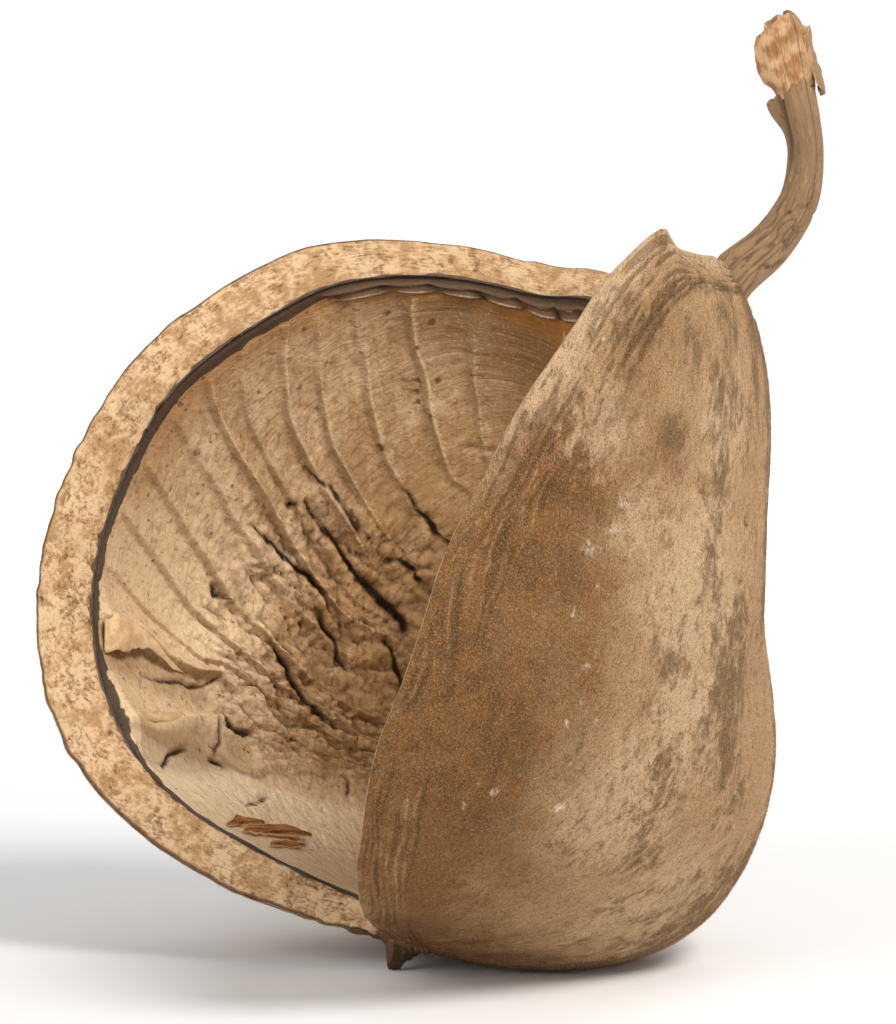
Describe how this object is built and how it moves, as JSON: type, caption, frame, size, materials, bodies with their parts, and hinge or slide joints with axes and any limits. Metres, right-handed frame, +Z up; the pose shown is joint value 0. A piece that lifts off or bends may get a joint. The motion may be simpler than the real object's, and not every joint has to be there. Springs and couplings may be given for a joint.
{
  "type": "buddha nut pod",
  "caption": "Dried woody seed pod, split open into a heart-shaped bowl with a papery ridged lining and a curved stalk, for display or craft use.",
  "frame": {"origin": "on the floor, under the middle of the whole object's box, stalk included", "axes": "+Z up from the floor to the stalk's torn top, -Y out of the open mouth, +X across the valves to the right one as seen from the mouth"},
  "size_m": [0.1261, 0.1344, 0.164],
  "materials": {
    "husk": "matte",
    "bark": "matte"
  },
  "bodies": {
    "root": {"pod": "husk", "stalk": "bark"}
  },
  "joints": []
}
